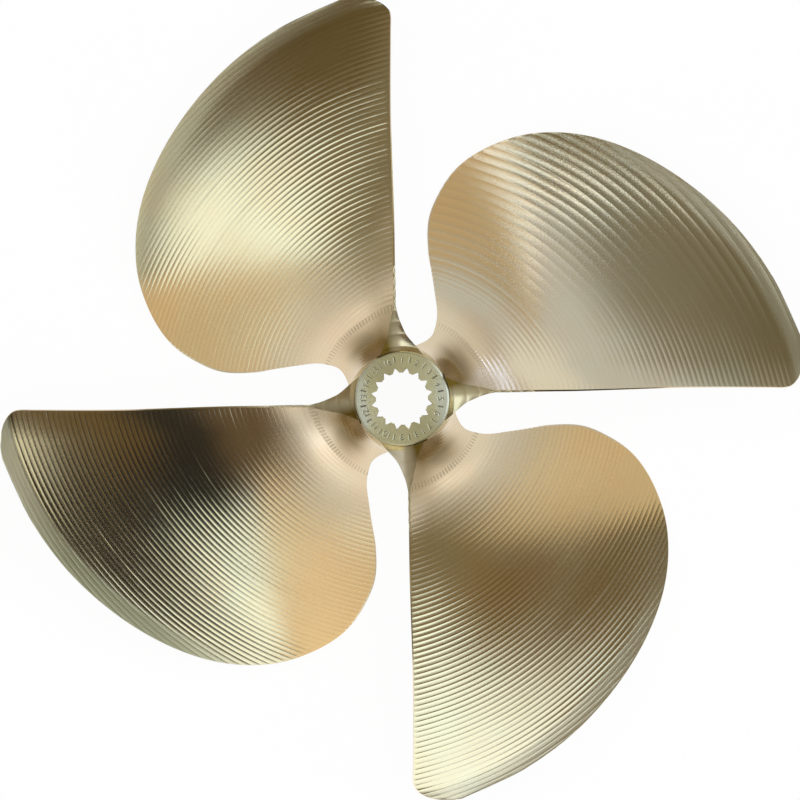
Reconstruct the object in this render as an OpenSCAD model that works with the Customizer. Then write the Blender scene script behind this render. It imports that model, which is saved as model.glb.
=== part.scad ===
// Four-bladed left-hand boat propeller with a splined bore, machined from one
// bronze casting. Millimetres. The origin is on the shaft axis at the hub's
// forward face, which it stands on, and +Z points aft along the shaft.

/* [Propeller] */
// Diameter of the circle that the blade tips sweep
prop_d = 374.65; // [330:0.05:420]
// Advance of the blades' pressure faces in one turn
pitch = 361.95; // [300:0.05:420]
// Number of blades
blade_count = 4; // [3:1:4]
// Angle by which the blades lean aft towards their tips
rake = 0; // [0:0.5:10]

/* [Hub] */
// Length of the hub along the shaft
hub_length = 63.5; // [58:0.1:75]
// Diameter of the hub at its aft end
hub_aft_d = 44.1; // [40:0.1:50]
// Diameter of the hub at its forward end
hub_fwd_d = 51.6; // [46:0.1:56]
// Chamfer around the aft face
aft_chamfer = 0.6; // [0.2:0.1:1.5]
// Chamfer around the forward face
fwd_chamfer = 1.2; // [0.4:0.1:2.5]

/* [Bore] */
// Number of spline teeth
spline_teeth = 16; // [12:1:20]
// Diameter across the pointed spaces between the teeth
spline_major_d = 28.7; // [27.5:0.05:29.5]
// Diameter across the tips of the teeth
spline_minor_d = 24.3; // [23:0.05:25.5]
// Share of one tooth's pitch that its flat tip takes
spline_land = 0.34; // [0.2:0.01:0.5]
// Angle from +X to the middle of the first tooth
spline_turn = 2; // [0:0.5:22]
// Diameter of the plain pilot bore at the forward end
pilot_d = 29.2; // [29:0.05:31]
// Length of the plain pilot bore, behind its chamfer
pilot_length = 12; // [8:0.5:16]
// Chamfer at the pilot bore's mouth
pilot_chamfer = 1; // [0.4:0.1:1.6]

/* [Blade] */
// Distance from the hub's aft face to the trailing edge at the root
te_setback = 5; // [4:0.1:14]
// Thickness of a blade at the root, in the middle of its chord
root_t = 12; // [9:0.5:14]
// Thickness of a blade at the tip
tip_t = 1.8; // [1.2:0.1:3]
// Thickness of the trailing edge
te_t = 1.2; // [0.8:0.1:2]
// Thickness of the leading edge before it is rounded
le_t = 0.9; // [0.6:0.1:1.6]
// How far the trailing edge is cupped aft
cup_height = 0.4; // [0:0.1:4]
// Width of the cupped strip
cup_width = 15; // [10:1:25]
// Hollow of the pressure face, as a share of its chord
face_hollow = 0.012; // [0:0.001:0.025]
// Extra thickness that the blunt trailing edge gains at the hub
blunt_t = 15.5; // [10:0.5:17]
// Radius at which the trailing edge starts to grow blunt
blunt_r = 44; // [38:1:52]
// How far the fillet between blade and hub reaches up the blade
fillet_reach = 9; // [6:0.5:12]
// How far the fillet spreads over the hub, on each side of the blade
fillet_spread = 4.5; // [2:0.5:5.5]

/* [Index marks] */
// Number of short marks engraved in the hub's aft face
mark_count = 32; // [16:4:48]
// Length of a mark
mark_length = 2.6; // [1.5:0.1:3]
// Width of a mark
mark_width = 0.7; // [0.4:0.1:1]
// Depth of a mark
mark_depth = 0.3; // [0.2:0.05:0.6]
// Gap between the marks and the edge of the aft face
mark_margin = 1.9; // [1.5:0.1:2.4]

/* [Hidden] */
bronze = [0.72, 0.68, 0.52];
$fn = 96;
cut = 1;

aft_r = hub_aft_d / 2;
fwd_r = hub_fwd_d / 2;
root_r = (aft_r + fwd_r) / 2;
tip_r = prop_d / 2;
lead = pitch / 360;
spline_step = 360 / spline_teeth;
bore_wall = 3;
inner_r = spline_major_d / 2 + bore_wall;

// The blade's outline as seen along the shaft, for a blade whose trailing edge
// lies near angle 0. A pair is [share of the way from root to tip, angle].
te_knots = [
    [-0.05, 28], [-0.013, 25], [0.02, 16.8], [0.045, 12.5], [0.073, 9.1],
    [0.11, 5.8], [0.15, 4.7], [0.22, 4], [0.36, 3.1], [0.65, 2.6],
    [0.9, 2], [0.948, 2], [0.97, 2.7], [0.99, 4.5], [1, 7]
];
le_knots = [
    [-0.05, 64.8], [0, 64.8], [0.038, 65], [0.067, 65.2], [0.11, 67.6],
    [0.166, 73], [0.223, 77.2], [0.28, 80.3], [0.365, 81.9], [0.45, 80.1],
    [0.535, 76.6], [0.62, 70.7], [0.706, 62.9], [0.791, 51.7], [0.905, 30.6],
    [0.962, 18.3], [0.99, 11], [1, 8.8]
];
te_root_angle = te_knots[1][1];

// Radii of the blade's sections: one inside the hub's wall, then closer over
// the fillet and again towards the tip.
root_steps = 7;
span_steps = 18;
tip_steps = 7;
tip_zone = 0.09;
fillet_zone = 1.3 * fillet_reach;
radii = concat(
    [inner_r],
    [for (i = [0:root_steps]) root_r + fillet_zone * pow(i / root_steps, 1.5)],
    [for (i = [1:span_steps])
        lerp(root_r + fillet_zone, lerp(tip_r, root_r, tip_zone), i / span_steps)],
    [for (i = [1:tip_steps])
        lerp(tip_r, root_r, tip_zone * pow(1 - i / tip_steps, 2))]
);
// Steps from trailing edge (0) to leading edge (1), closer at both edges.
chord_steps = 13;
chord_shares = [for (i = [0:chord_steps]) (1 - cos(180 * i / chord_steps)) / 2];

function lerp(a, b, share) = a + (b - a) * share;
function clamp01(x) = max(0, min(1, x));

// A smooth curve through knots, read at x.
function knot_before(knots, x, i = 0) =
    i >= len(knots) - 2 || x < knots[i + 1][0] ? i : knot_before(knots, x, i + 1);
function knot_slope(knots, i) =
    let (a = knots[max(i - 1, 0)], b = knots[min(i + 1, len(knots) - 1)])
    (b[1] - a[1]) / (b[0] - a[0]);
function curve_at(knots, x) =
    let (
        i = knot_before(knots, x),
        a = knots[i],
        b = knots[i + 1],
        width = b[0] - a[0],
        t = (x - a[0]) / width,
        bulge_a = t * pow(1 - t, 2) * width * knot_slope(knots, i),
        bulge_b = t * t * (t - 1) * width * knot_slope(knots, i + 1)
    )
    lerp(a[1], b[1], t * t * (3 - 2 * t)) + bulge_a + bulge_b;

// The hub's outer radius at height z, and the fillet at a distance from it.
function hub_radius(z) =
    lerp(fwd_r, aft_r, clamp01((z - fwd_chamfer) / (hub_length - fwd_chamfer - aft_chamfer)));
function fillet_at(distance) =
    fillet_spread * pow(clamp01(1 - distance / fillet_reach), 2);

// Height of the pressure face's helix at angle a and radius r.
function helix_z(a, r) =
    hub_length - te_setback + lead * (te_root_angle - a) + (r - root_r) * tan(rake);

// Blade thickness at a share s of the chord. It runs from edge to edge, and an
// arch that is highest a third of the way back from the leading edge is added.
blunt_curve = 1.4;
arch_scale = 1.5 * sqrt(3);
function edge_t(r) =
    te_t + blunt_t * pow(clamp01((blunt_r - r) / (blunt_r - root_r)), blunt_curve);
function thickness(r, span, s) =
    let (
        middle_t = lerp(root_t, tip_t, clamp01(span)),
        ends_t = lerp(edge_t(r), le_t, s),
        arch = arch_scale * sqrt(1 - s) * s
    )
    ends_t + max(0, middle_t - (edge_t(r) + le_t) / 2) * arch;

// Both sides of the blade's section at radius r. Near the root the section
// follows the hub's taper, so that its fillet runs evenly along the hub.
function section(r) =
    let (
        span = (r - root_r) / (tip_r - root_r),
        near_hub = 1 - clamp01((r - root_r) / fillet_zone),
        te_edge = curve_at(te_knots, max(span, te_knots[0][0])),
        le = curve_at(le_knots, max(span, le_knots[0][0])),
        slope = atan(lead * 180 / PI / r),
        per_degree = PI / 180 * r / cos(slope),
        strip = min(cup_width, (le - te_edge) * per_degree / 2),
        lift = cup_height * pow(strip / cup_width, 2) * clamp01(span / 0.2),
        te = te_edge - lift * sin(slope) / r * 180 / PI,
        chord = (le - te) * per_degree,
        side = function (s, back)
            let (
                hub_r = hub_radius(helix_z(lerp(te, le, s), r)),
                own_r = r + (hub_r - root_r) * near_hub,
                flare = fillet_at(own_r - hub_r),
                along = s * chord + (2 * s - 1) * flare,
                hollow = face_hollow * chord * 4 * s * (1 - s),
                cup = lift * pow(clamp01(1 - s * chord / strip), 2),
                out = cup - hollow + (back ? -thickness(r, span, s) - flare : flare),
                angle = te + (along * cos(slope) + out * sin(slope)) / r * 180 / PI
            )
            [
                own_r * cos(angle),
                own_r * sin(angle),
                helix_z(te, r) - along * sin(slope) + out * cos(slope)
            ]
    )
    concat(
        [for (s = chord_shares) side(s, false)],
        [for (i = [chord_steps:-1:0]) side(chord_shares[i], true)]
    );

// A closed skin over rings of equal length, capped at both ends.
module loft(rings) {
    count = len(rings[0]);
    last = (len(rings) - 1) * count;
    half = count / 2;
    sides = [
        for (i = [0:len(rings) - 2], j = [0:count - 1])
            let (a = i * count + j, b = i * count + (j + 1) % count)
            each [[a, b, a + count], [b, b + count, a + count]]
    ];
    caps = [
        for (j = [0:half - 2])
            let (k = count - 1 - j)
            each [
                [j, k, j + 1], [j + 1, k, k - 1],
                [last + j, last + j + 1, last + k], [last + j + 1, last + k - 1, last + k]
            ]
    ];
    polyhedron(points = [for (ring = rings) each ring], faces = concat(sides, caps));
}

// What the hub takes away from a blade, past both of its ends.
module hub_core() {
    reach = hub_length;
    rotate_extrude()
        polygon([
            [0, -reach], [fwd_r, -reach], [fwd_r, fwd_chamfer],
            [aft_r, hub_length - aft_chamfer], [aft_r, hub_length + reach],
            [0, hub_length + reach]
        ]);
}

module hub_blank() {
    rotate_extrude()
        polygon([
            [0, 0], [fwd_r - fwd_chamfer, 0], [fwd_r, fwd_chamfer],
            [aft_r, hub_length - aft_chamfer], [aft_r - aft_chamfer, hub_length],
            [0, hub_length]
        ]);
}

// The space that a splined shaft takes: a pointed space between flat teeth.
module spline_space() {
    land = spline_step * spline_land / 2;
    tip = spline_minor_d / 2;
    translate([0, 0, -cut])
        linear_extrude(hub_length + 2 * cut)
            polygon([
                for (k = [0:spline_teeth - 1])
                    let (a = k * spline_step + spline_turn)
                    each [
                        [tip * cos(a - land), tip * sin(a - land)],
                        [tip * cos(a + land), tip * sin(a + land)],
                        [
                            spline_major_d / 2 * cos(a + spline_step / 2),
                            spline_major_d / 2 * sin(a + spline_step / 2)
                        ]
                    ]
            ]);
}

module pilot_space() {
    mouth_r = pilot_d / 2 + pilot_chamfer;
    translate([0, 0, -cut])
        cylinder(h = pilot_chamfer + pilot_length + cut, d = pilot_d);
    translate([0, 0, -cut])
        cylinder(h = pilot_chamfer + cut, r1 = mouth_r + cut, r2 = pilot_d / 2);
}

module index_marks() {
    outer = aft_r - aft_chamfer - mark_margin;
    for (k = [0:mark_count - 1])
        rotate(k * 360 / mark_count)
            translate([outer - mark_length, -mark_width / 2, hub_length - mark_depth])
                cube([mark_length, mark_width, mark_depth + cut]);
}

module hub() {
    color(bronze)
        difference() {
            hub_blank();
            spline_space();
            pilot_space();
            index_marks();
        }
}

module blade() {
    color(bronze)
        difference() {
            loft([for (r = radii) section(r)]);
            hub_core();
        }
}

hub();
for (i = [1:blade_count])
    rotate((i - 1) * 360 / blade_count) blade();
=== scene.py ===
import math
from operator import itemgetter

import bmesh
import bpy
from mathutils import Matrix, Vector
from mathutils.bvhtree import BVHTree
from mathutils.kdtree import KDTree


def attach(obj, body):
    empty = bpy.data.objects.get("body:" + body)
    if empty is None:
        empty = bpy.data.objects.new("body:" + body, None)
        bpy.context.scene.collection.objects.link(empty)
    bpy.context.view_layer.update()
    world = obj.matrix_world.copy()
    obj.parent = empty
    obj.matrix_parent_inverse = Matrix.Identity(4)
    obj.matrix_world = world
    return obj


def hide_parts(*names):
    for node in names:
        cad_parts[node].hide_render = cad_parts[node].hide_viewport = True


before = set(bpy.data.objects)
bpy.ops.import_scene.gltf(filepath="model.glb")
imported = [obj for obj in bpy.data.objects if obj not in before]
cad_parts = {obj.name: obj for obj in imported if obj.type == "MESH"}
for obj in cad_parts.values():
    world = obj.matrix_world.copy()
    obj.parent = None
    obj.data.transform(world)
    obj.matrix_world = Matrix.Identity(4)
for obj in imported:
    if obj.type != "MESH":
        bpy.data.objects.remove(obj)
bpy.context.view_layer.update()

scene = bpy.context.scene
mm = 0.001


# small helpers
def lerp(a, b, share):
    return a + (b - a) * share


def clamp01(x):
    return max(0.0, min(1.0, x))


def smooth(edgeA, edgeB, x):
    t = clamp01((x - edgeA) / (edgeB - edgeA))
    return t * t * (3 - 2 * t)


def curveAt(knots, x):  # smooth curve through (x, y) pairs, the same one as in the solids
    i = 0
    while i < len(knots) - 2 and x >= knots[i + 1][0]:
        i += 1

    def slope(k):
        a, b = knots[max(k - 1, 0)], knots[min(k + 1, len(knots) - 1)]
        return (b[1] - a[1]) / (b[0] - a[0])

    a, b = knots[i], knots[i + 1]
    width = b[0] - a[0]
    t = (x - a[0]) / width
    bulge = t * (1 - t) ** 2 * width * slope(i) + t * t * (t - 1) * width * slope(i + 1)
    return lerp(a[1], b[1], t * t * (3 - 2 * t)) + bulge


def reach(place):  # distance from the shaft axis
    return math.hypot(place.x, place.y)


def noiseOf(number):  # repeatable value from 0 to 1 for a whole number
    return math.sin(number * 12.9898 + 4.1) * 43758.5453 % 1.0


def addPiece(name, bm, material, node):
    if bm.calc_volume(signed=True) < 0:  # inside out
        bmesh.ops.reverse_faces(bm, faces=bm.faces)
    mesh = bpy.data.meshes.new(name)
    bm.to_mesh(mesh)
    bm.free()
    mesh.materials.append(material)
    piece = bpy.data.objects.new(name, mesh)
    scene.collection.objects.link(piece)
    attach(piece, "root")
    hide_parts(node)
    print(name, "has", sum(len(face.vertices) - 2 for face in mesh.polygons), "triangles")
    return piece


# shader maths
class Wire:  # one output socket; plain maths on it adds the nodes
    def __init__(self, graph, socket):
        self.graph = graph
        self.socket = socket

    def maths(self, operation, a, b):
        return self.graph.node("Math", {"operation": operation}, {0: a, 1: b})

    def __add__(self, other):
        return self.maths("ADD", self, other)

    def __radd__(self, other):
        return self.maths("ADD", other, self)

    def __sub__(self, other):
        return self.maths("SUBTRACT", self, other)

    def __rsub__(self, other):
        return self.maths("SUBTRACT", other, self)

    def __mul__(self, other):
        return self.maths("MULTIPLY", self, other)

    def __rmul__(self, other):
        return self.maths("MULTIPLY", other, self)

    def __truediv__(self, other):
        return self.maths("DIVIDE", self, other)

    def __rtruediv__(self, other):
        return self.maths("DIVIDE", other, self)

    def __mod__(self, other):
        return self.maths("FLOORED_MODULO", self, other)

    def __rmod__(self, other):
        return self.maths("FLOORED_MODULO", other, self)

    def __pow__(self, other):
        return self.maths("POWER", self, other)

    def __rpow__(self, other):
        return self.maths("POWER", other, self)


class Graph:  # the node tree of one material or of the world
    def __init__(self, tree):
        self.tree = tree
        tree.nodes.clear()

    def node(self, kind, settings, inputs, output=0):
        made = self.tree.nodes.new("ShaderNode" + kind)
        for name, value in settings.items():
            setattr(made, name, value)
        for name, value in inputs.items():
            if isinstance(value, Wire):
                self.tree.links.new(value.socket, made.inputs[name])
            else:
                made.inputs[name].default_value = value
        return Wire(self, made.outputs[output]) if made.outputs else None

    def single(self, operation, value):  # maths on one value
        return self.node("Math", {"operation": operation}, {0: value})

    def mix(self, factor, a, b):
        a, b = [(*c, 1) if isinstance(c, tuple) and len(c) == 3 else c for c in (a, b)]
        return self.node("Mix", {"data_type": "RGBA"}, {0: factor, 6: a, 7: b}, 2)

    def vectors(self, operation, a, b, output=0):
        return self.node("VectorMath", {"operation": operation}, {0: a, 1: b}, output)

    def ease(self, value, start, stop, high=1.0):  # from 0 at start to high at stop
        return self.node("MapRange", {"interpolation_type": "SMOOTHSTEP"},
                         {0: value, 1: start, 2: stop, 3: 0.0, 4: high})

    def noise(self, vector, scale, detail=2.0, roughness=0.5):
        return self.node("TexNoise", {}, {"Vector": vector, "Scale": scale, "Detail": detail,
                                          "Roughness": roughness})


# camera
frameSize = (800, 800)  # the photograph
cameraView = {
    "aim": (-0.90 * mm, -0.63 * mm),  # what the middle of the frame looks at
    "aimHeight": 60 * mm,
    "distance": 14.0,
    "widthInView": 370.9 * mm,  # at the aim's height
    "roll": 0.17,  # degrees
    "sensor": 36.0,
    "shift": (0.0, 0.0),
    "clip": (1.0, 40.0),
}
imagePoints = {
    "left edge": (0.5, 446), "right edge": (800, 353),
    "top edge": (357, 0.5), "bottom edge": (447, 798),
    "blade 1 top": (552, 132), "blade 2 left": (135, 248),
    "blade 3 bottom": (250, 667), "blade 4 right": (669, 550),
    "hub centre": (401.7, 398.4), "numbers": (401.7, 360),
    "gap above": (415, 345), "gap left": (346, 378),
    "gap below": (386, 451), "gap right": (454, 414),
}

cameraData = bpy.data.cameras.new("longLens")
cameraData.sensor_fit = "AUTO"
cameraData.sensor_width = cameraView["sensor"]
cameraData.lens = cameraView["sensor"] * cameraView["distance"] / cameraView["widthInView"]
cameraData.shift_x, cameraData.shift_y = cameraView["shift"]
cameraData.clip_start, cameraData.clip_end = cameraView["clip"]
camera = bpy.data.objects.new("longLens", cameraData)
camera.location = (*cameraView["aim"], cameraView["aimHeight"] + cameraView["distance"])
camera.rotation_euler = (0, 0, math.radians(cameraView["roll"]))  # straight down, +Y up
scene.collection.objects.link(camera)
scene.camera = camera


def rayThrough(x, y):  # from the camera through a point of the photograph
    long = max(frameSize)
    across = (x - frameSize[0] / 2 + cameraData.shift_x * long,
              frameSize[1] / 2 - y + cameraData.shift_y * long,
              -long * cameraData.lens / cameraData.sensor_width)
    turn = camera.matrix_basis.to_3x3()
    return camera.matrix_basis.translation.copy(), (turn @ Vector(across)).normalized()


def shownAt(place):  # where a point of the model shows in the photograph's frame
    long = max(frameSize)
    seen = camera.matrix_basis.inverted() @ Vector(place)
    scale = long * cameraData.lens / cameraData.sensor_width / -seen.z
    return (frameSize[0] / 2 - cameraData.shift_x * long + seen.x * scale,
            frameSize[1] / 2 + cameraData.shift_y * long - seen.y * scale)


def placeOnSurface(x, y, tree):  # the point of a finished surface that an image point shows
    start, direction = rayThrough(x, y)
    hit = tree.ray_cast(start, direction)[0]
    if hit is None:
        depth = cameraView["distance"] / -direction.z
        hit = tree.find_nearest(start + direction * depth)[0]
    return hit


# light
studio = {
    "horizon": (0.66, 0.69, 0.74), "overhead": (0.34, 0.35, 0.31), "fade": (0.05, 0.6),
    # azimuth, angle from overhead, plain radius, soft radius, colour
    "patches": [
        (120, 78, 34, 46, (0.64, 0.70, 0.79)),  # pale wall
        (142, 60, 4, 16, (0.72, 0.80, 0.93)),  # top of the wall
        (153, 47, 3, 8, (1.75, 2.0, 2.3)),  # side window
        (100, 93, 10, 20, (0.88, 0.95, 1.02)),  # glow at its foot
        (114, 38, 14, 29, (0.22, 0.22, 0.18)),  # dim ceiling
        (98, 33, 6, 16, (0.16, 0.14, 0.09)),  # corner of the ceiling
        (188, 60, 20, 30, (0.23, 0.20, 0.13)),  # dim shelf
        (201, 38, 12, 19, (0.12, 0.09, 0.035)),  # dark shelf
        (188, 94, 10, 22, (0.34, 0.31, 0.23)),  # shade below the shelf
        (229, 63, 20, 26, (1.26, 1.46, 1.50)),  # left window
        (215, 30, 11, 17, (0.10, 0.07, 0.025)),  # top of the shelf
        (280, 61, 19, 26, (0.02, 0.02, 0.018)),  # open door
        (292, 46, 19, 26, (0.015, 0.015, 0.015)),  # its side
        (269, 50, 7, 13, (0.14, 0.095, 0.04)),  # its frame
        (286, 92, 16, 26, (0.14, 0.10, 0.06)),  # its foot
        (335, 61, 20, 26, (1.34, 1.58, 1.66)),  # right window
        (310, 33, 13, 18, (0.025, 0.02, 0.015)),  # top of the door
        (328, 28, 8, 14, (0.12, 0.11, 0.07)),  # corner of the door
        (268, 32, 7, 12, (1.25, 1.35, 1.25)),  # lamp over the door
        (24, 73, 12, 24, (0.24, 0.185, 0.10)),  # dim corner
        (42, 51, 13, 22, (0.16, 0.11, 0.045)),  # its middle
        (53, 41, 10, 18, (0.16, 0.115, 0.05)),  # its top
        (12, 90, 14, 26, (0.23, 0.19, 0.11)),  # shade on the right
        (16, 28, 12, 20, (1.32, 1.58, 1.82)),  # high window
        (3, 44, 6, 15, (1.25, 1.48, 1.60)),  # its foot
        (0, 0, 9, 20, (0.47, 0.48, 0.38)),  # roof light
    ],
    "lampHeight": 2.2, "lampSize": 1.6, "lampWatts": 28,
}


def lightStudio():
    world = bpy.data.worlds.new("studioRoom")
    scene.world = world
    world.use_nodes = True
    g = Graph(world.node_tree)
    direction = g.node("TexCoord", {}, {}, 0)
    height = g.node("SeparateXYZ", {}, {0: direction}, 2)
    room = g.mix(g.ease(height, *studio["fade"]), studio["horizon"], studio["overhead"])
    for azimuth, fromTop, plain, soft, colour in studio["patches"]:
        a, t = math.radians(azimuth), math.radians(fromTop)
        towards = (math.sin(t) * math.cos(a), math.sin(t) * math.sin(a), math.cos(t))
        near = g.vectors("DOT_PRODUCT", direction, towards, 1)
        cover = g.ease(near, math.cos(math.radians(soft)), math.cos(math.radians(plain)))
        room = g.mix(cover, room, colour)
    seen = g.node("LightPath", {}, {}, 0)
    light = g.node("Background", {}, {"Color": room, "Strength": 1.0})
    backdrop = g.node("Background", {}, {"Color": (1, 1, 1, 1), "Strength": 1.0})
    shown = g.node("MixShader", {}, {0: seen, 1: light, 2: backdrop})
    g.node("OutputWorld", {}, {"Surface": shown})

    lamp = bpy.data.lights.new("softOverhead", "AREA")  # for the floor; the metal sees the room
    lamp.size, lamp.energy = studio["lampSize"], studio["lampWatts"]
    overhead = bpy.data.objects.new("softOverhead", lamp)
    overhead.location = (0, 0, studio["lampHeight"])
    overhead.visible_glossy = overhead.visible_camera = False
    scene.collection.objects.link(overhead)


paper = {  # the white sheet that it stands on, as the metal sees it, with painted pools of light and a painted shade under each blade
    "radius": 0.45, "sides": 96, "colour": (0.86, 0.86, 0.85), "glowing": 0.95,
    "tint": (1.0, 0.98, 1.0), "coolTint": (0.80, 1.05, 1.85),
    "level": 0.97, "lean": (0.15, -1.0), "levelLimits": (0.6, 1.25),
    "shadeAt": 0.0865, "shadeTurn": 4.7, "shadeFrom": 0.006, "shadeTo": 0.030, "shadeDepth": 0.45,
    "dimFrom": 0.10, "dimTo": 0.30, "dimBy": 0.2,
    # x, y, half width, half length, share of it that is plain, how bright, how cool
    "glows": [
        (0.008, 0.205, 0.026, 0.095, 0.6, 3.2, 1.0),
        (-0.218, -0.005, 0.070, 0.060, 0.3, 1.45, 0.0),
        (0.015, -0.190, 0.105, 0.110, 0.35, 1.35, 0.1),
        (0.195, 0.105, 0.095, 0.095, 0.45, 1.45, 0.0),
        (0.420, 0.020, 0.170, 0.170, 0.65, 0.70, 0.0),
        (-0.420, -0.050, 0.165, 0.165, 0.6, 0.68, 0.0),
        (0.030, -0.430, 0.165, 0.165, 0.65, 0.50, 0.0),
        (-0.030, 0.400, 0.150, 0.150, 0.6, 1.40, 0.0),
    ],
}


def layFloor():
    p = paper
    bm = bmesh.new()
    bmesh.ops.create_circle(bm, cap_ends=True, segments=p["sides"], radius=p["radius"])
    mesh = bpy.data.meshes.new("paleFloor")
    bm.to_mesh(mesh)
    bm.free()
    floor = bpy.data.objects.new("paleFloor", mesh)
    scene.collection.objects.link(floor)
    material = bpy.data.materials.new("paleFloor")
    material.use_nodes = True
    g = Graph(material.node_tree)
    place = g.node("TexCoord", {}, {}, 3)
    x, y = [g.node("SeparateXYZ", {}, {0: place}, axis) for axis in (0, 1)]
    radius = (x * x + y * y) ** 0.5
    quarter = math.pi / 2  # the same painted shade lies under each blade's thick edge
    turned = g.node("Math", {"operation": "ARCTAN2"}, {0: y, 1: x}) - math.radians(p["shadeTurn"])
    turned = (turned + quarter / 2) % quarter - quarter / 2
    ahead = radius * g.single("COSINE", turned) - p["shadeAt"]
    aside = radius * g.single("SINE", turned)
    shade = g.ease((ahead * ahead + aside * aside) ** 0.5, p["shadeTo"], p["shadeFrom"])
    level = p["level"] + x * p["lean"][0] + y * p["lean"][1]
    lowest, highest = p["levelLimits"]
    level = g.node("Clamp", {}, {0: level, 1: lowest, 2: highest})
    level = level * (1 - shade * p["shadeDepth"])
    level = level * (1 - g.ease(radius, p["dimFrom"], p["dimTo"]) * p["dimBy"])
    cool = 0.0
    for glowX, glowY, halfX, halfY, plain, gain, coolness in p["glows"]:
        awayX, awayY = (x - glowX) / halfX, (y - glowY) / halfY
        cover = g.ease((awayX * awayX + awayY * awayY) ** 0.5, 1.0, plain)
        level = level * (1 + cover * (gain - 1))
        cool = cover * coolness + cool
    direct = g.node("LightPath", {}, {}, "Is Camera Ray")
    mirrored = g.node("Math", {"operation": "MAXIMUM"}, {
        0: g.node("LightPath", {}, {}, "Is Glossy Ray"),
        1: g.node("LightPath", {}, {}, "Is Transmission Ray")})
    seen = direct * p["glowing"] + mirrored * p["glowing"]
    strength = direct + mirrored * level
    matt = g.node("BsdfDiffuse", {}, {"Color": (*p["colour"], 1)})
    tint = g.mix(cool, p["tint"], p["coolTint"])
    tint = g.mix(direct, tint, (1.0, 1.0, 1.0))
    white = g.node("Emission", {}, {"Color": tint, "Strength": strength})
    floorMix = g.node("MixShader", {}, {0: seen, 1: matt, 2: white})
    g.node("OutputMaterial", {}, {"Surface": floorMix})
    mesh.materials.append(material)


lightStudio()
layFloor()
scene.view_settings.view_transform = "Standard"
print("camera, light and floor set")


# shapes that the bronze follows too
toolMarks = {  # millimetres, and shares of the chord from the trailing edge
    "step": 2.44, "rowsPerStep": 6, "height": 0.075, "leastHeight": 0.85, "heightSpread": 0.3,
    "rootStep": 1.22, "rootEnd": 44.0, "rootRows": 4, "rootHeight": 0.03,
    "tickTurn": 2.25,  # degrees from one tick of the root's ring to the next
    "edgeBand": 8.0, "bandSoft": 3.0, "edgeFrom": (140.0, 158.0), "edgeStep": 1.2, "bandHeight": 0.65,
    "edgeGain": 0.45, "edgeGainTo": (0.3, 0.0),  # deeper at the trailing edge
    "edgeLoss": 0.4, "edgeLossTo": (0.55, 0.25),  # but finer there on the third blade
    "tipLoss": 0.7, "tipLossFrom": (140.0, 168.0),  # smoother tip of the second blade
    "middleLoss": 0.4, "middleFrom": (0.08, 0.3), "middleReach": (68.0, 95.0),
    "pairHeight": 0.17, "leastPair": 0.8, "pairSpread": 0.4, "pairWeak": 0.5,
    "pairFrom": (0.1, 0.5), "pairReach": (60.0, 90.0), "pairFull": (0.45, 0.8),
    "alternate": (0.3, 0.12, 0.10, 0.10),  # how unlike neighbouring passes are, per blade
    "tilt": 1.2, "uneven": 0.25,
    "driftTurn": 0.4,  # radians
    "driftStart": 0.19, "driftGain": 0.277, "driftLoss": 0.108, "driftFrom": (22.0, 48.0),
    "facetStep": 5.2, "facetDepth": 0.5, "facetEnd": 62.0,
    "pressureColumns": 76, "suctionColumns": 26, "bluntColumns": 6, "noseColumns": 3,
    "crispAngle": 42,  # degrees
}

hubShape = {  # millimetres
    "length": 63.5, "aftRadius": 22.05, "forwardRadius": 25.8,
    "aftChamfer": 0.6, "forwardChamfer": 1.2,
    "aftBelt": 1.5, "forwardBelt": 2.5,  # rows that keep the taper's shading straight
    "teeth": 16, "toothRoot": 14.35, "toothTip": 12.15, "toothLand": 0.34, "toothTurn": 2.0,
    "toothRounding": 0.3, "toothChamfer": 0.18,
    "pilotRadius": 14.6, "pilotLength": 12.0, "pilotChamfer": 1.0,
    "faceFrom": 15.2, "faceTo": 20.8, "faceStep": 0.14, "steps": 768,
    "numbers": 16, "numberSize": 3.9, "numberBold": 0.1, "stampDepth": 0.24, "stampSlope": 0.6,
    "ticks": 32, "tickFrom": 16.95, "tickTo": 19.55, "tickWidth": 0.8,
    "crispAngle": 32,  # degrees
}


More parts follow.
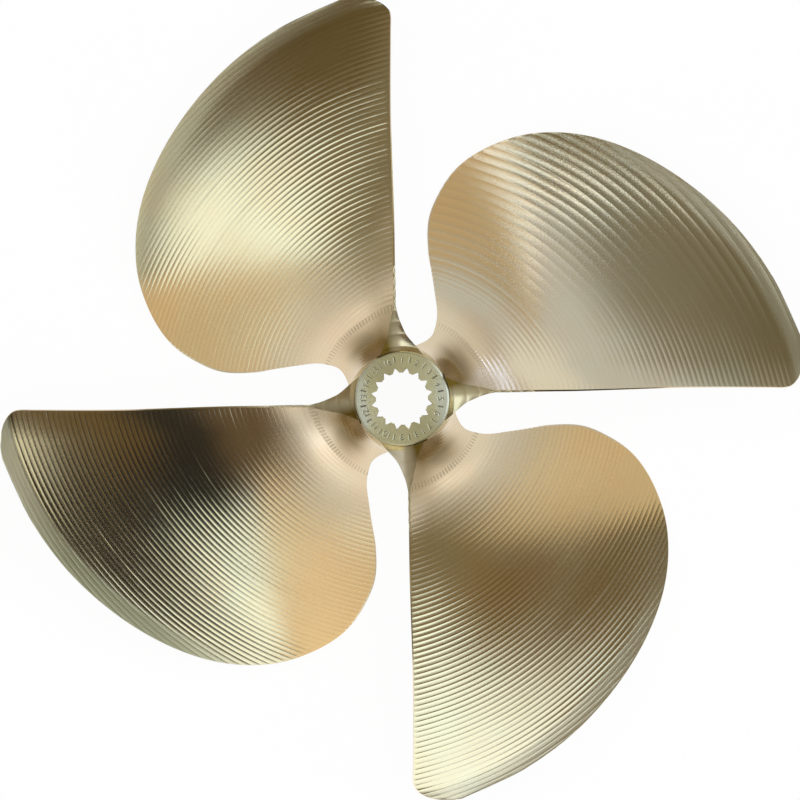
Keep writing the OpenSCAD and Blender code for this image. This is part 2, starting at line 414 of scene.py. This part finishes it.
# bronze
bladeBronze = {
    "colour": (0.80, 0.67, 0.45), "warm": (0.80, 0.63, 0.40), "green": (0.77, 0.69, 0.48),
    "streak": (0.5, 0.4, 0.25), "groove": (0.42, 0.33, 0.20), "glintColour": (0.97, 0.95, 0.88),
    "edge": (0.86, 0.79, 0.62), "dull": (0.30, 0.265, 0.15),
    "rootShade": (0.22, 0.135, 0.02),  # painted shade in the roots and at the foot of each blade
    # how much of its colour each gives
    "plainShare": 0.5, "streakShare": 0.10, "bandFinishAndHighlightShare": 0.22, "ridgeHighlightShare": 0.08, "dullShare": 0.75,
    "tickShare": 0.5, "fineShare": 0.22, "glintShare": 0.6, "footShare": 0.22,
    # roughness, and what each adds to it
    "roughness": 0.17, "streakRough": 0.12, "grainRough": 0.10, "satinRough": 0.12, "bandRough": 0.15,
    "glintRough": 0.15, "dullRough": 0.10, "thickEdgeRough": 0.11, "footRough": 1.4,
    # heights of the bump in millimetres
    "streakHeight": 0.01, "bluntHeight": 0.002, "grainHeight": 0.014, "lobeHeight": 0.03,
    "ridgeHeight": 0.018, "hatchHeight": 0.006, "tickHeight": 0.05, "fineHeight": 0.012,
    # patterns: how fine they are across and along the passes, and which slice of the noise
    "streakScale": (2.6, 0.014, 0.0), "grainScale": (1.5, 0.9, 0.0), "patchScale": (0.16, 0.028, 3.0),
    "cloudScale": 22.0, "glintScale": 1500.0,
    "streakRange": (0.3, 0.75), "cloudRange": (0.35, 0.65), "patchRange": (0.32, 0.62),
    "glintRange": (0.6, 0.72), "ridgeRange": (0.66, 1.0), "leastRidge": 0.25,
    "tickRange": (0.1, 0.9), "fineRange": (0.2, 1.0),
    # where each begins and ends, in millimetres, or in degrees past its blade's own axis
    "seam": 2.0, "bandSoft": 2.0, "flankFrom": (0.1, 1.0),
    "tickFrom": (40.4, 41.1), "tickTo": (44.6, 43.8), "fineTo": (40.8, 40.0),
    "rootShadeReach": (43.0, 25.5), "rootShadeFrom": (4.0, 20.0), "rootShadeTo": (62.0, 38.0),
    "footReach": (56.0, 38.0), "footFrom": (0.0, 6.0), "footTo": (30.0, 8.0),
    "satinFrom": (46.0, 62.0), "satinTo": (150.0, 112.0), "satinEdge": (88.0, 44.0),
    "lobeFrom": (68.0, 95.0), "lobeTurn": (20.0, 45.0), "glintsTo": (68.0, 58.0),
    "thickEdgeTo": (62.0, 50.0), "tipFrom": (135.0, 165.0), "dullFrom": (8.0, 28.0),
    # what one blade has less of than the others
    "firstSatinLoss": 0.85, "firstTickLoss": 0.7, "pairLoss": 0.9,
    "secondTipLoss": 0.8, "secondBandLoss": 0.65,
}


def makeBladeBronze():
    b = bladeBronze
    t = toolMarks
    material = bpy.data.materials.new("milledBronze")
    material.use_nodes = True
    g = Graph(material.node_tree)
    place = g.node("TexCoord", {}, {}, 3)
    path = g.node("Attribute", {"attribute_type": "GEOMETRY", "attribute_name": "toolPath"}, {}, 1)
    across, along, fromEdge = [g.node("SeparateXYZ", {}, {0: path}, i) * 1000 for i in range(3)]
    x, y = [g.node("SeparateXYZ", {}, {0: place}, i) * 1000 for i in range(2)]
    radius = (x * x + y * y) ** 0.5
    turned = g.node("Math", {"operation": "ARCTAN2"}, {0: y, 1: x}) % (math.pi / 2) * (180 / math.pi)
    # from here on everything is in millimetres and degrees

    def passNoise(scale, detail):  # noise that runs along the passes
        spot = g.node("CombineXYZ", {}, {0: across * scale[0], 1: along * scale[1], 2: scale[2]})
        return g.noise(spot, 1.0, detail, 0.6)

    def onBlade(signX, signY):  # 1 on the blade whose x and y have these signs
        return (g.ease(x, -signX * b["seam"], signX * b["seam"])
                * g.ease(y, -signY * b["seam"], signY * b["seam"]))

    def waves(distance, step):
        return g.single("COSINE", distance * (math.tau / step))

    def zone(value, name):  # from where the settings begin a finish to where it is full
        return g.ease(value, *b[name])

    streaks = passNoise(b["streakScale"], 3.0)
    grain = passNoise(b["grainScale"], 2.0)
    patches = passNoise(b["patchScale"], 2.0)
    clouds = g.noise(place, b["cloudScale"], 3.0, 0.55)
    firstBlade, secondBlade, thirdBlade = onBlade(1, 1), onBlade(-1, 1), onBlade(-1, -1)
    flank = zone(along, "flankFrom")  # not on the thick edge
    lobe = firstBlade * zone(turned, "lobeTurn") * zone(across, "lobeFrom")

    # the line where two passes meet, some of them fainter than others; its paler colour is a painted
    # highlight
    turn = (across - t["rootEnd"]) / t["step"]
    offCentre = g.single("ABSOLUTE", turn - g.single("FLOOR", turn) - 0.5) * 2
    crossed = g.single("ROUND", turn)
    strength = g.node("TexWhiteNoise", {"noise_dimensions": "1D"}, {"W": crossed}, 0) + b["leastRidge"]
    milled = g.ease(across, t["rootEnd"], t["rootEnd"] + 1)
    ridge = zone(offCentre, "ridgeRange") * strength * zone(patches, "patchRange") * milled
    ridge = ridge * (1 - crossed % 2.0 * lobe * b["pairLoss"])
    ridge = ridge * (1 - secondBlade * zone(radius, "tipFrom") * b["secondTipLoss"])

    # the band along the leading edge, paler partly from its own finish and partly as a painted highlight,
    # and the ring of ticks round the root
    band = g.ease(fromEdge, t["edgeBand"] + b["bandSoft"], t["edgeBand"] - b["bandSoft"])
    band = band * g.ease(radius, *t["edgeFrom"]) * (1 - secondBlade * b["secondBandLoss"])
    dull = band * thirdBlade
    hatch = waves(fromEdge, t["edgeStep"]) * band
    ticks = waves(turned, t["tickTurn"]) * zone(across, "tickFrom") * zone(across, "tickTo") * flank
    fineLines = waves(across, t["rootStep"]) * zone(across, "fineTo") * flank

    thickEdge = (1 - flank) * zone(radius, "thickEdgeTo")
    satin = zone(across, "satinFrom") * zone(across, "satinTo") * zone(fromEdge, "satinEdge")
    satin = satin * (1 - firstBlade * b["firstSatinLoss"])
    # painted shade: darkens the roots and the foot of each blade
    rootShade = zone(radius, "rootShadeReach") * zone(turned, "rootShadeFrom") * zone(turned, "rootShadeTo")
    foot = zone(radius, "footReach") * zone(turned, "footFrom") * zone(turned, "footTo")
    foot = foot * b["footShare"]
    # painted glints: pale specks of colour on the first blade's lobe
    paintedGlints = g.ease(g.noise(place, b["glintScale"], 1.0), *b["glintRange"])
    paintedGlints = paintedGlints * lobe * zone(turned, "glintsTo")

    tint = g.mix(zone(clouds, "cloudRange"), b["warm"], b["green"])
    colour = g.mix(b["plainShare"], tint, b["colour"])
    colour = g.mix(g.ease(streaks, *b["streakRange"], b["streakShare"]), colour, b["streak"])
    colour = g.mix(band * b["bandFinishAndHighlightShare"] + ridge * b["ridgeHighlightShare"], colour, b["edge"])
    colour = g.mix(dull * zone(turned, "dullFrom") * b["dullShare"], colour, b["dull"])
    tickGrooves = zone(ticks, "tickRange") * (1 - firstBlade * b["firstTickLoss"]) * b["tickShare"]
    fineGrooves = zone(fineLines, "fineRange") * b["fineShare"]
    colour = g.mix(tickGrooves + fineGrooves, colour, b["groove"])
    colour = g.mix(paintedGlints * b["glintShare"], colour, b["glintColour"])
    colour = g.mix(rootShade + foot, colour, b["rootShade"])

    rough = (streaks - 0.5) * b["streakRough"] + (grain - 0.5) * b["grainRough"] + b["roughness"]
    rough = rough + satin * b["satinRough"] + band * b["bandRough"] + paintedGlints * b["glintRough"]
    rough = rough + dull * b["dullRough"] + thickEdge * b["thickEdgeRough"] + foot * b["footRough"]
    height = (streaks - 0.5) * (flank * b["streakHeight"] + b["bluntHeight"])
    height = height + (grain - 0.5) * (lobe * b["lobeHeight"] + b["grainHeight"])
    height = height + ridge * b["ridgeHeight"] + hatch * b["hatchHeight"]
    height = height + ticks * b["tickHeight"] + fineLines * b["fineHeight"]
    height = height * (1 - firstBlade * 2)  # cut in on the first blade, raised on the others
    bump = g.node("Bump", {}, {"Strength": 1.0, "Distance": mm, "Height": height})
    metal = g.node("BsdfPrincipled", {}, {"Base Color": colour, "Metallic": 1.0,
                                          "Roughness": rough, "Normal": bump})
    g.node("OutputMaterial", {}, {"Surface": metal})
    return material


hubBronze = {
    "colour": (0.84, 0.75, 0.51), "dull": (0.77, 0.68, 0.44), "sideHighlight": (0.86, 0.86, 0.84),
    "stampDark": (0.22, 0.17, 0.09),
    "sideHighlightShare": 0.5, "stampDarkShare": 0.85,
    "roughness": 0.29, "cloudRough": 0.2, "grainRough": 0.1,
    "ringScale": 2.6, "grainScale": 1900.0, "cloudScale": 60.0, "cloudRange": (0.3, 0.7),
    # heights and places in millimetres; depths are counted from the aft face
    "ringHeight": 0.016, "grainHeight": 0.008,
    "sideHighlightFrom": (12.5, 18.5), "sideHighlightWander": 14, "sideHighlightDepth": (1.0, 0.5),
    "stampDarkFrom": (15.1, 15.2), "stampDarkTo": (20.9, 20.8), "stampDarkDepth": (0.03, 0.15),
    "turned": 0.8, "turnedWay": 0.25,  # anisotropy of the turning marks
}


def makeHubBronze():
    b = hubBronze
    material = bpy.data.materials.new("turnedBronze")
    material.use_nodes = True
    g = Graph(material.node_tree)
    place = g.node("TexCoord", {}, {}, 3)
    flat = g.vectors("MULTIPLY", place, (1, 1, 0))
    radius = g.vectors("LENGTH", flat, (0, 0, 0), 1) * 1000
    x, z = [g.node("SeparateXYZ", {}, {0: place}, i) * 1000 for i in (0, 2)]
    depth = hubShape["length"] - z
    rings = g.noise(g.node("CombineXYZ", {}, {0: radius * b["ringScale"], 1: 0.0, 2: 0.0}), 1.0)
    grain = g.noise(place, b["grainScale"], 2.0, 0.6)
    clouds = g.noise(place, b["cloudScale"], 3.0, 0.55)

    # painted highlight: paler towards the left and right of the aft face
    side = g.single("ABSOLUTE", x) + (clouds - 0.5) * b["sideHighlightWander"]
    sideHighlight = g.ease(side, *b["sideHighlightFrom"]) * g.ease(depth, *b["sideHighlightDepth"])
    # darker in the stamped numbers and ticks
    stampDark = g.ease(depth, *b["stampDarkDepth"]) * g.ease(radius, *b["stampDarkFrom"]) * g.ease(radius, *b["stampDarkTo"])
    colour = g.mix(g.ease(clouds, *b["cloudRange"]), b["dull"], b["colour"])
    colour = g.mix(sideHighlight * b["sideHighlightShare"], colour, b["sideHighlight"])
    colour = g.mix(stampDark * b["stampDarkShare"], colour, b["stampDark"])
    rough = (clouds - 0.5) * b["cloudRough"] + (grain - 0.5) * b["grainRough"] + b["roughness"]
    height = (0.5 - rings) * b["ringHeight"] + (0.5 - grain) * b["grainHeight"]
    bump = g.node("Bump", {}, {"Strength": 1.0, "Distance": mm, "Height": height})
    metal = g.node("BsdfPrincipled", {}, {"Base Color": colour, "Metallic": 1.0, "Roughness": rough,
                                          "Anisotropic": b["turned"],
                                          "Anisotropic Rotation": b["turnedWay"], "Normal": bump})
    g.node("OutputMaterial", {}, {"Surface": metal})
    return material


milledBronze = makeBladeBronze()
turnedBronze = makeHubBronze()
print("bronze made")


# hub
def hubRadiusAt(z):
    h = hubShape
    run = h["length"] - h["forwardChamfer"] - h["aftChamfer"]
    return lerp(h["forwardRadius"], h["aftRadius"], clamp01((z - h["forwardChamfer"]) / run))


def layNumbers(ringRadius):  # plain numbers round the hub's face: a tree of them, one of their outlines
    h = hubShape
    bm = bmesh.new()
    for k in range(h["numbers"]):
        text = bpy.data.curves.new("number", "FONT")
        text.body = str(k + 1)
        text.size = h["numberSize"]
        text.offset = h["numberBold"]
        text.resolution_u = 4
        text.align_x = "CENTER"
        holder = bpy.data.objects.new("number", text)
        flat = bpy.data.meshes.new_from_object(holder)
        turn = math.tau * k / h["numbers"]
        low = ringRadius - 0.35 * h["numberSize"]  # half of a digit's height
        flat.transform(Matrix.Rotation(-turn, 4, "Z") @ Matrix.Translation((0, low, 0)))
        bm.from_mesh(flat)
        bpy.data.objects.remove(holder)
        bpy.data.curves.remove(text)
        bpy.data.meshes.remove(flat)
    bmesh.ops.remove_doubles(bm, verts=bm.verts, dist=0.002)
    spacing = 0.05
    spots = []
    for edge in [e for e in bm.edges if e.is_boundary]:
        a, b = [v.co.copy() for v in edge.verts]
        count = max(1, math.ceil((a - b).length / spacing))
        spots += [a.lerp(b, i / count) for i in range(count)]
    nearest = KDTree(len(spots))
    for i, spot in enumerate(spots):
        nearest.insert(spot, i)
    nearest.balance()
    tree = BVHTree.FromBMesh(bm)
    bm.free()
    return tree, nearest


def stampAt(place, tree, nearest):  # how deep the face is stamped at one place
    h = hubShape
    flat = Vector((place.x, place.y, 0))
    away = nearest.find(flat)[2]
    if tree.ray_cast(flat + Vector((0, 0, 1)), Vector((0, 0, -1)))[0] is not None:
        return min(h["stampDepth"], away * h["stampSlope"])
    r = reach(place)
    turn = math.atan2(place.y, place.x) / math.tau * h["ticks"] + 0.5
    underNumber = round(turn * 2) % 4 == 1
    if underNumber or r < h["tickFrom"] or r > h["tickTo"]:
        return 0.0
    aside = abs(turn % 1 - 0.5) * math.tau / h["ticks"] * r
    return max(0.0, min(h["stampDepth"], (h["tickWidth"] / 2 - aside) * h["stampSlope"]))


def makeHub():
    h = hubShape
    top, low = h["length"], h["pilotLength"] + h["pilotChamfer"]
    near = 0.001  # two places this close are one
    bm = bmesh.new()
    rows = round((h["faceTo"] - h["faceFrom"]) / h["faceStep"])
    profile = [(lerp(h["faceFrom"], h["faceTo"], i / rows), top) for i in range(rows + 1)]
    profile += [
        (h["aftRadius"] - h["aftChamfer"] * 1.35, top),  # a rounded chamfer
        (h["aftRadius"] - h["aftChamfer"] * 0.45, top - h["aftChamfer"] * 0.25),
        (h["aftRadius"], top - h["aftChamfer"]),
        (hubRadiusAt(top - h["aftBelt"]), top - h["aftBelt"]),
        (hubRadiusAt(h["forwardBelt"]), h["forwardBelt"]),
        (h["forwardRadius"], h["forwardChamfer"]),
        (h["forwardRadius"] - h["forwardChamfer"], 0),
        (h["pilotRadius"] + h["pilotChamfer"], 0),
        (h["pilotRadius"], h["pilotChamfer"]),
        (h["pilotRadius"], low),
    ]
    line = [bm.verts.new((r, 0, z)) for r, z in profile]
    edges = [bm.edges.new(pair) for pair in zip(line, line[1:])]
    bmesh.ops.spin(bm, geom=line + edges, cent=(0, 0, 0), axis=(0, 0, 1), angle=math.tau,
                   steps=h["steps"], use_merge=True)
    bmesh.ops.remove_doubles(bm, verts=bm.verts, dist=near)
    bmesh.ops.recalc_face_normals(bm, faces=bm.faces)

    face = BVHTree.FromObject(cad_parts["hub"], bpy.context.evaluated_depsgraph_get())
    ringRadius = reach(placeOnSurface(*imagePoints["numbers"], face)) / mm
    tree, nearest = layNumbers(ringRadius)
    for vert in bm.verts:
        if abs(vert.co.z - top) < near and h["faceFrom"] < reach(vert.co) < h["faceTo"]:
            vert.co.z -= stampAt(vert.co, tree, nearest)
    print("numbers stamped at radius", round(ringRadius, 2))

    # the splined bore: one ring of teeth, carried down and closed against both faces
    step = 360 / h["teeth"]
    half = step * h["toothLand"] / 2
    ring = []
    for k in range(h["teeth"]):
        middle = k * step + h["toothTurn"]
        for angle, r in ((middle - half, h["toothTip"]), (middle + half, h["toothTip"]),
                         (middle + step / 2, h["toothRoot"])):
            a = math.radians(angle)
            ring.append(bm.verts.new((r * math.cos(a), r * math.sin(a), top)))
    upper = [bm.edges.new((ring[i], ring[(i + 1) % len(ring)])) for i in range(len(ring))]
    down = bmesh.ops.extrude_edge_only(bm, edges=upper)["geom"]
    for vert in [v for v in down if isinstance(v, bmesh.types.BMVert)]:
        vert.co.z = low
    corners = [e for e in bm.edges if abs(e.verts[0].co.z - e.verts[1].co.z) > 1
               and max(reach(v.co) for v in e.verts) < h["toothTip"] + 0.01]
    bmesh.ops.bevel(bm, geom=corners, offset=h["toothRounding"], offset_type="OFFSET",
                    affect="EDGES", segments=3, profile=0.5, material=-1)
    for z in (top, low):
        openEdges = [e for e in bm.edges if e.is_boundary
                     and all(abs(v.co.z - z) < near for v in e.verts)]
        bmesh.ops.triangle_fill(bm, edges=openEdges, use_beauty=True)
    rim = [e for e in bm.edges
           if all(abs(v.co.z - top) < near and reach(v.co) < h["toothRoot"] + 0.02 for v in e.verts)
           and any(abs(f.normal.z) < 0.5 for f in e.link_faces)]
    bmesh.ops.bevel(bm, geom=rim, offset=h["toothChamfer"], offset_type="OFFSET",
                    affect="EDGES", segments=1, profile=0.5, material=-1)
    bmesh.ops.recalc_face_normals(bm, faces=bm.faces)
    bmesh.ops.scale(bm, vec=(mm, mm, mm), verts=bm.verts)
    for face in bm.faces:
        face.smooth = True
    hub = addPiece("visual_hub", bm, turnedBronze, "hub")
    hub.data.set_sharp_from_angle(angle=math.radians(h["crispAngle"]))
    return hub


# blades
bladeShape = {  # millimetres and degrees, as in the solids
    "tipRadius": 187.325, "rootRadius": 23.925, "pitch": 361.95, "rake": 0.0,
    "setback": 5.0, "rootAngle": 25.0, "rootThick": 12.0, "tipThick": 1.8,
    "trailingThick": 1.2, "leadingThick": 0.9, "bluntThick": 15.5, "bluntRadius": 44.0,
    "cupHeight": 0.4, "cupWidth": 15.0, "cupFull": 0.2, "hollow": 0.012, "bluntPower": 1.4,
    "filletReach": 9.0, "filletSpread": 4.5, "filletZone": 1.3, "startRadius": 19.0,
    "facedFrom": 0.3, "facedBelow": 0.8,  # the roots are faced off with the hub
    "trailing": [
        (-0.05, 28), (-0.013, 25), (0.02, 16.8), (0.045, 12.5), (0.073, 9.1),
        (0.11, 5.8), (0.15, 4.7), (0.22, 4), (0.36, 3.1), (0.65, 2.6),
        (0.9, 2), (0.948, 2), (0.97, 2.7), (0.99, 4.5), (1, 7)],
    "leading": [
        (-0.05, 64.8), (0, 64.8), (0.038, 65), (0.067, 65.2), (0.11, 67.6),
        (0.166, 73), (0.223, 77.2), (0.28, 80.3), (0.365, 81.9), (0.45, 80.1),
        (0.535, 76.6), (0.62, 70.7), (0.706, 62.9), (0.791, 51.7), (0.905, 30.6),
        (0.962, 18.3), (0.99, 11), (1, 8.8)],
}


def spanAt(r):  # 0 at the root and 1 at the tip
    b = bladeShape
    return (r - b["rootRadius"]) / (b["tipRadius"] - b["rootRadius"])


def anglesAt(span):  # of the trailing and the leading outline
    trailing, leading = bladeShape["trailing"], bladeShape["leading"]
    span = max(span, trailing[0][0])
    return curveAt(trailing, span), curveAt(leading, span)


class BladeSection:  # what one radius of the blade needs to know
    def __init__(self, r):
        b = bladeShape
        self.r = r
        self.span = spanAt(r)
        self.nearHub = 1 - clamp01((r - b["rootRadius"]) / (b["filletZone"] * b["filletReach"]))
        edge, self.le = anglesAt(self.span)
        self.slope = math.atan(b["pitch"] / math.tau / r)
        perDegree = math.pi / 180 * r / math.cos(self.slope)
        self.strip = min(b["cupWidth"], (self.le - edge) * perDegree / 2)
        cupShare = (self.strip / b["cupWidth"]) ** 2 * clamp01(self.span / b["cupFull"])
        self.lift = b["cupHeight"] * cupShare
        self.te = edge - self.lift * math.sin(self.slope) / r * 180 / math.pi
        self.chord = (self.le - self.te) * perDegree
        inward = clamp01((b["bluntRadius"] - r) / (b["bluntRadius"] - b["rootRadius"]))
        self.bluntThick = b["trailingThick"] + b["bluntThick"] * inward ** b["bluntPower"]
        self.middleThick = lerp(b["rootThick"], b["tipThick"], clamp01(self.span))

    def helixZ(self, angle):
        b = bladeShape
        return (hubShape["length"] - b["setback"] + b["pitch"] / 360 * (b["rootAngle"] - angle)
                + (self.r - b["rootRadius"]) * math.tan(math.radians(b["rake"])))

    def thickness(self, s):
        leading = bladeShape["leadingThick"]
        arch = 1.5 * math.sqrt(3) * math.sqrt(max(0, 1 - s)) * s  # 1 at its highest
        extra = max(0, self.middleThick - (self.bluntThick + leading) / 2)
        return lerp(self.bluntThick, leading, s) + extra * arch

    def point(self, s, depth, relief, past):
        # depth 0 is the pressure face and 1 the suction face; past moves along the chord
        b = bladeShape
        hubR = hubRadiusAt(self.helixZ(lerp(self.te, self.le, s)))
        ownR = self.r + (hubR - b["rootRadius"]) * self.nearHub
        flare = b["filletSpread"] * clamp01(1 - (ownR - hubR) / b["filletReach"]) ** 2
        along = s * self.chord + (2 * s - 1) * flare + past
        cup = self.lift * clamp01(1 - s * self.chord / self.strip) ** 2
        face = cup - b["hollow"] * self.chord * 4 * s * (1 - s)
        out = lerp(face + flare, face - self.thickness(s) - flare, depth) + relief
        turn = (along * math.cos(self.slope) + out * math.sin(self.slope)) / self.r
        angle = math.radians(self.te) + turn
        z = self.helixZ(self.te) - along * math.sin(self.slope) + out * math.cos(self.slope)
        return Vector((ownR * math.cos(angle), ownR * math.sin(angle), z))


def drift(theta):  # how far a milling pass draws in over an angle, as a share of its radius
    t = toolMarks
    start = t["driftTurn"]
    if theta < start:
        return t["driftStart"] * max(theta, 0)
    return (t["driftStart"] * start + t["driftGain"] * (theta - start)
            - t["driftLoss"] * (theta ** 2 - start ** 2))


def passOf(r, theta):  # the radius at which the pass through this point leaves the trailing edge
    return r * math.exp(drift(theta) * smooth(*toolMarks["driftFrom"], r))


def rowRadii(s, passes):  # radii at which one column of the blade meets each pass
    b = bladeShape
    count = 420
    table = []
    for i in range(count + 1):
        share = 1 - (1 - i / count) ** 1.3  # closer together towards the tip
        r = lerp(b["startRadius"], b["tipRadius"], share)
        te, le = anglesAt(spanAt(r))
        table.append((passOf(r, math.radians(lerp(te, le, s))), r))
    for i in range(1, len(table)):  # never runs back
        table[i] = (max(table[i][0], table[i - 1][0] + 1e-7), table[i][1])
    radii = []
    i = 0
    for p in passes:
        while i < len(table) - 2 and table[i + 1][0] < p:
            i += 1
        (p0, r0), (p1, r1) = table[i], table[i + 1]
        radii.append(lerp(r0, r1, clamp01((p - p0) / (p1 - p0))))
    return radii


def listPasses():  # rows of the blade's mesh: several to each pass, and the tip
    t = toolMarks
    last = passOf(bladeShape["tipRadius"], math.radians(bladeShape["leading"][-1][1]))
    p = bladeShape["startRadius"]
    passes = []
    while p < last:
        passes.append(p)
        p += t["rootStep"] / t["rootRows"] if p < t["rootEnd"] else t["step"] / t["rowsPerStep"]
    return passes + [last + 0.01]


def listColumns():
    # (share of the chord, depth, which side) round the section from the trailing edge
    t = toolMarks
    n, m, k = t["pressureColumns"], t["suctionColumns"], t["bluntColumns"]

    def spread(i, count):  # closer together at both edges
        return lerp(i / count, (1 - math.cos(math.pi * i / count)) / 2, 0.5)

    columns = [(spread(i, n), 0.0, "pressure") for i in range(n + 1)]
    columns += [(1.0, (i + 1) / (t["noseColumns"] + 1), "nose") for i in range(t["noseColumns"])]
    columns += [(spread(m - i, m), 1.0, "suction") for i in range(m + 1)]
    columns += [(0.0, 1 - (i + 1) / k, "blunt") for i in range(k)]
    return columns  # the last lies on the first


def cuspAt(phase):  # across one pass: low in its middle, high where it meets the next, 0 on average
    return 4 * (phase - 0.5) ** 2 - 0.33


def passHeight(number, p, s, index):  # no two passes are quite the same
    t = toolMarks
    height = t["height"] * (t["leastHeight"] + t["heightSpread"] * noiseOf(number * 3 + 7 + 50 * index))
    if index == 0:
        return height * (1 - t["middleLoss"] * smooth(*t["middleFrom"], s) * smooth(*t["middleReach"], p))
    if index == 2:
        return height * (1 - t["edgeLoss"] * smooth(*t["edgeLossTo"], s))
    if index == 1:
        height *= 1 - t["tipLoss"] * smooth(*t["tipLossFrom"], p)
    return height * (1 + t["edgeGain"] * smooth(*t["edgeGainTo"], s))


def milledRelief(p, s, index):
    t = toolMarks
    turn = (p - t["rootEnd"]) / t["step"]
    number, phase = math.floor(turn), turn % 1
    tilt = t["alternate"][index] * (1 if number % 2 else -1)
    tilt += t["uneven"] * (noiseOf(number + 50 * index) - 0.5)
    lean = t["tilt"] * tilt * (phase - 0.5) * (1 - abs(2 * phase - 1))
    relief = passHeight(number, p, s, index) * (cuspAt(phase) + lean)
    if index > 0:
        return relief
    # two passes on the first blade's lobe make one broad ridge
    pair = t["pairHeight"] * (t["leastPair"] + t["pairSpread"] * noiseOf(number // 2 + 90))
    pair *= cuspAt(turn / 2 % 1) * lerp(t["pairWeak"], 1, smooth(*t["pairFull"], s))
    return lerp(relief, pair, smooth(*t["pairFrom"], s) * smooth(*t["pairReach"], p))


def reliefAt(p, r, s, fromEdge, index, side):  # how far the tool marks stand out of the face
    t = toolMarks
    if side in ("nose", "blunt"):
        return 0.0
    if p < t["rootEnd"]:
        relief = t["rootHeight"] * cuspAt(p / t["rootStep"] % 1)
    else:
        relief = milledRelief(p, s, index)
    band = smooth(t["edgeBand"] + t["bandSoft"], t["edgeBand"] - t["bandSoft"], fromEdge)
    band *= smooth(*t["edgeFrom"], r)
    return relief * lerp(1, t["bandHeight"], band)


passes = listPasses()
columns = listColumns()
columnShares = sorted(set(round(c[0], 9) for c in columns))
radiiByShare = {s: rowRadii(s, passes) for s in columnShares}
sections = {}
print("blade grid", len(passes), "by", len(columns))


def sectionAt(r):
    key = round(r, 4)
    if key not in sections:
        sections[key] = BladeSection(key)
    return sections[key]


def outlineDistance(section, s):  # about how far a point lies inside the leading outline
    leading = bladeShape["leading"]
    step = 0.01
    fromLeading = (1 - s) * section.chord * math.cos(section.slope)
    turned = curveAt(leading, min(section.span + step, 1)) - curveAt(leading, section.span - step)
    rise = 2 * step * (bladeShape["tipRadius"] - bladeShape["rootRadius"])
    return fromLeading / math.hypot(1, math.radians(turned) * section.r / rise)


def makeBlade(index):
    t = toolMarks
    bm = bmesh.new()
    rows, wide = len(passes) - 1, len(columns) - 1
    bmesh.ops.create_grid(bm, x_segments=wide, y_segments=rows, size=1)
    pathLayer = bm.verts.layers.float_vector.new("toolPath")
    rowLayer = bm.verts.layers.int.new("row")
    firstRow = next(j for j, p in enumerate(passes) if p >= t["rootEnd"])
    nose = bladeShape["leadingThick"] / 2
    turn = Matrix.Rotation(math.radians(90 * index), 3, "Z")
    for vert in bm.verts:
        i = round((vert.co.x + 1) / 2 * wide)
        j = round((vert.co.y + 1) / 2 * rows)
        s, depth, side = columns[i]
        section = sectionAt(radiiByShare[round(s, 9)][j])
        p = passes[j]
        fromEdge = outlineDistance(section, s)
        relief = reliefAt(p, section.r, s, fromEdge, index, side)
        relief *= smooth(0, 0.01, s) * smooth(1, 0.99, s)  # none on the edges themselves
        past = -nose * s
        if side == "nose":
            past += nose * math.sin(math.pi * depth)
        if side == "suction":
            relief = -relief
        if side == "blunt" and p < t["facetEnd"]:
            cut = 1 - (2 * (p / t["facetStep"] % 1) - 1) ** 2
            past += t["facetDepth"] * cut * math.sin(math.pi * depth) ** 0.5
        vert[pathLayer] = Vector((p, s * section.chord, fromEdge)) * mm
        vert[rowLayer] = j
        place = turn @ section.point(s, depth, relief, past)
        if reach(place) < hubShape["aftRadius"] + bladeShape["facedFrom"]:
            place.z = min(place.z, hubShape["length"] - bladeShape["facedBelow"])
        vert.co = place * mm
    bmesh.ops.remove_doubles(bm, verts=bm.verts, dist=2e-6)
    bmesh.ops.holes_fill(bm, edges=[e for e in bm.edges if e.is_boundary], sides=0)
    bmesh.ops.recalc_face_normals(bm, faces=bm.faces)
    for face in bm.faces:
        face.smooth = True
    for edge in bm.edges:  # crisp where two passes meet, and at real corners
        rowA, rowB = [vert[rowLayer] for vert in edge.verts]
        meeting = rowA == rowB and rowA >= firstRow and (rowA - firstRow) % t["rowsPerStep"] == 0
        edge.smooth = not (meeting or edge.calc_face_angle(0) > math.radians(t["crispAngle"]))
    bm.verts.layers.int.remove(rowLayer)
    return addPiece(f"visual_blade_{index + 1}", bm, milledBronze, f"blade_{index + 1}")


hub = makeHub()
blades = [makeBlade(index) for index in range(4)]

# closing numbers
seenBlades = [[shownAt(v.co) for v in blade.data.vertices] for blade in blades]
outline = [place for seen in seenBlades for place in seen]
ahead, down = itemgetter(0), itemgetter(1)
shown = {
    "left edge": min(outline, key=ahead), "right edge": max(outline, key=ahead),
    "top edge": min(outline, key=down), "bottom edge": max(outline, key=down),
    "blade 1 top": min(seenBlades[0], key=down), "blade 2 left": min(seenBlades[1], key=ahead),
    "blade 3 bottom": max(seenBlades[2], key=down), "blade 4 right": max(seenBlades[3], key=ahead),
    "hub centre": shownAt((0, 0, hubShape["length"] * mm)),
}
depsgraph = bpy.context.evaluated_depsgraph_get()
trees = [BVHTree.FromObject(piece, depsgraph) for piece in [hub] + blades]


def gapStart(x, y):  # where the clear gap between two blades starts, from the hub towards a point
    middle = Vector(shown["hub centre"])
    outwards = (Vector((x, y)) - middle).normalized()
    for quarter in range(160, 320):  # quarters of a pixel, from inside the hub's outline
        place = middle + outwards * quarter / 4
        start, direction = rayThrough(*place)
        if all(tree.ray_cast(start, direction)[0] is None for tree in trees):
            return place
    return Vector((x, y))


for name in ("gap above", "gap left", "gap below", "gap right"):
    shown[name] = gapStart(*imagePoints[name])
numbersTop = (0, placeOnSurface(*imagePoints["numbers"], trees[0]).y, hubShape["length"] * mm)
shown["numbers"] = shownAt(numbersTop)
for name, (x, y) in imagePoints.items():
    if name in shown:
        round(shown[name][0] - x, 2)
        round(shown[name][1] - y, 2)
